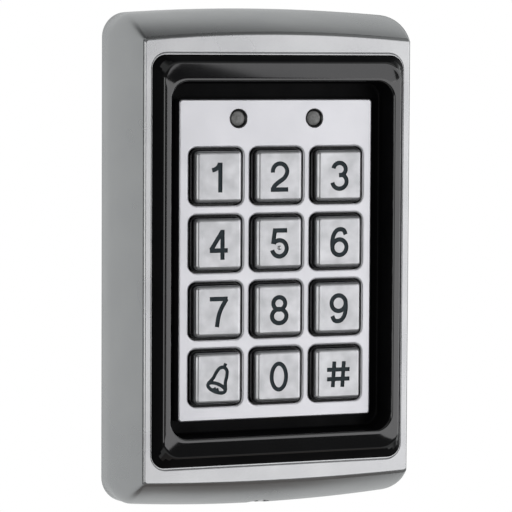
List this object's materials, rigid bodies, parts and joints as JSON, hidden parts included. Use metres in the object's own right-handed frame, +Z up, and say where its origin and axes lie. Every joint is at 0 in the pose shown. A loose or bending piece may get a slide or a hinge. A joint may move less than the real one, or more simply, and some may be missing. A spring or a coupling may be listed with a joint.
{
  "type": "keypad access reader",
  "caption": "Wall keypad access reader: satin metal case, raised gloss black bezel, steel face plate with push keys, status lamps, board and rear wall plate.",
  "frame": {"origin": "centre of the wall plate's back face, which lies on the wall", "axes": "+Z up, +X to the right as seen by a person facing the keys, keys face -Y, wall behind at +Y"},
  "size_m": [0.076, 0.0232, 0.12],
  "materials": {
    "zinc_case": "die-cast zinc, satin chrome plated",
    "gloss_black": "high-gloss black moulding",
    "plate_steel": "satin stainless sheet",
    "key_metal": "satin metal key caps with dark filled legends",
    "matte_black": "moulded black plastic, fine texture",
    "silicone": "grey silicone",
    "rubber": "black rubber",
    "board": "green solder mask on glass-fibre laminate",
    "chip_black": "black moulded component packages",
    "can_metal": "bright component cans",
    "connector": "natural white nylon",
    "lens": "smoked translucent plastic",
    "lamp": "water-clear epoxy",
    "copper": "enamelled copper wire",
    "sensor": "ceramic disc",
    "zinc_steel": "zinc-plated steel sheet",
    "screw_steel": "plated steel screws"
  },
  "bodies": {
    "housing": {"front_case": "zinc_case", "reader_bezel": "gloss_black", "face_plate": "plate_steel", "key_frame": "matte_black", "rear_cover": "matte_black", "keypad_membrane": "silicone", "cover_gasket": "silicone", "cable_grommet": "rubber", "main_board": "board", "controller_chip": "chip_black", "memory_chip": "chip_black", "voltage_regulator": "chip_black", "door_relay": "chip_black", "buzzer": "chip_black", "clock_crystal": "can_metal", "filter_capacitor": "can_metal", "wire_header": "connector", "led_lens_left": "lens", "led_lens_right": "lens", "led_left": "lamp", "led_right": "lamp", "antenna_coil": "copper", "tamper_sensor": "sensor", "wall_plate": "zinc_steel", "security_screw": "screw_steel", "cover_screw_1": "screw_steel", "cover_screw_2": "screw_steel", "cover_screw_3": "screw_steel", "cover_screw_4": "screw_steel", "board_screw_1": "screw_steel", "board_screw_2": "screw_steel", "board_screw_3": "screw_steel", "board_screw_4": "screw_steel"},
    "button_1": {"key_1": "key_metal"},
    "button_2": {"key_2": "key_metal"},
    "button_3": {"key_3": "key_metal"},
    "button_4": {"key_4": "key_metal"},
    "button_5": {"key_5": "key_metal"},
    "button_6": {"key_6": "key_metal"},
    "button_7": {"key_7": "key_metal"},
    "button_8": {"key_8": "key_metal"},
    "button_9": {"key_9": "key_metal"},
    "button_bell": {"key_bell": "key_metal"},
    "button_0": {"key_0": "key_metal"},
    "button_hash": {"key_hash": "key_metal"}
  },
  "joints": [
    {"name": "press_1", "type": "slide", "parent": "housing", "child": "button_1", "axis": [0, 1, 0], "range_m": [0, 0.001], "stiffness_N_per_m": 900, "springref_m": -0.0008},
    {"name": "press_2", "type": "slide", "parent": "housing", "child": "button_2", "axis": [0, 1, 0], "range_m": [0, 0.001], "stiffness_N_per_m": 900, "springref_m": -0.0008},
    {"name": "press_3", "type": "slide", "parent": "housing", "child": "button_3", "axis": [0, 1, 0], "range_m": [0, 0.001], "stiffness_N_per_m": 900, "springref_m": -0.0008},
    {"name": "press_4", "type": "slide", "parent": "housing", "child": "button_4", "axis": [0, 1, 0], "range_m": [0, 0.001], "stiffness_N_per_m": 900, "springref_m": -0.0008},
    {"name": "press_5", "type": "slide", "parent": "housing", "child": "button_5", "axis": [0, 1, 0], "range_m": [0, 0.001], "stiffness_N_per_m": 900, "springref_m": -0.0008},
    {"name": "press_6", "type": "slide", "parent": "housing", "child": "button_6", "axis": [0, 1, 0], "range_m": [0, 0.001], "stiffness_N_per_m": 900, "springref_m": -0.0008},
    {"name": "press_7", "type": "slide", "parent": "housing", "child": "button_7", "axis": [0, 1, 0], "range_m": [0, 0.001], "stiffness_N_per_m": 900, "springref_m": -0.0008},
    {"name": "press_8", "type": "slide", "parent": "housing", "child": "button_8", "axis": [0, 1, 0], "range_m": [0, 0.001], "stiffness_N_per_m": 900, "springref_m": -0.0008},
    {"name": "press_9", "type": "slide", "parent": "housing", "child": "button_9", "axis": [0, 1, 0], "range_m": [0, 0.001], "stiffness_N_per_m": 900, "springref_m": -0.0008},
    {"name": "press_bell", "type": "slide", "parent": "housing", "child": "button_bell", "axis": [0, 1, 0], "range_m": [0, 0.001], "stiffness_N_per_m": 900, "springref_m": -0.0008},
    {"name": "press_0", "type": "slide", "parent": "housing", "child": "button_0", "axis": [0, 1, 0], "range_m": [0, 0.001], "stiffness_N_per_m": 900, "springref_m": -0.0008},
    {"name": "press_hash", "type": "slide", "parent": "housing", "child": "button_hash", "axis": [0, 1, 0], "range_m": [0, 0.001], "stiffness_N_per_m": 900, "springref_m": -0.0008}
  ]
}
